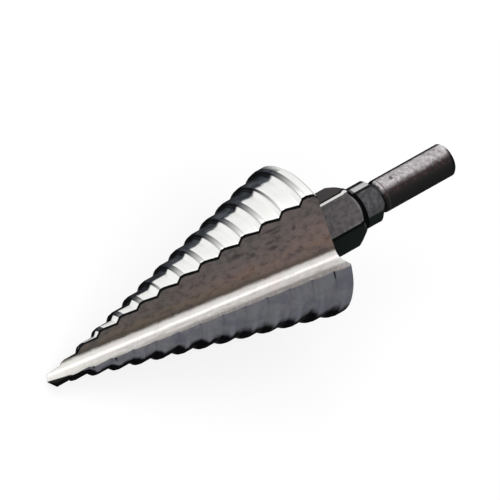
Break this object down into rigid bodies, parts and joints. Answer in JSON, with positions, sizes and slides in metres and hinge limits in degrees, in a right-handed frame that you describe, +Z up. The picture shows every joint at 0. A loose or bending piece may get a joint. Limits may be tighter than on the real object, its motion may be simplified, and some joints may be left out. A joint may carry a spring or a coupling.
{
  "type": "step drill",
  "caption": "Stepped cone drill with one straight flute, a pilot point, a hex for a wrench and a round shank.",
  "frame": {"origin": "on the ground under the middle of the drill's box, as it lies at rest on its pilot corner and last step", "axes": "+X from the point towards the shank, whose axis climbs 13.6 degrees; +Y across the drill; +Z up"},
  "size_m": [0.1324, 0.0442, 0.041],
  "materials": {
    "ground_steel": "ground bright lands and rake face, satin brown-grey flute wall",
    "black_oxide": "black oxide over machined steel, on the hex, collar and shank"
  },
  "bodies": {
    "root": {"step_drill": "ground_steel"}
  },
  "joints": []
}
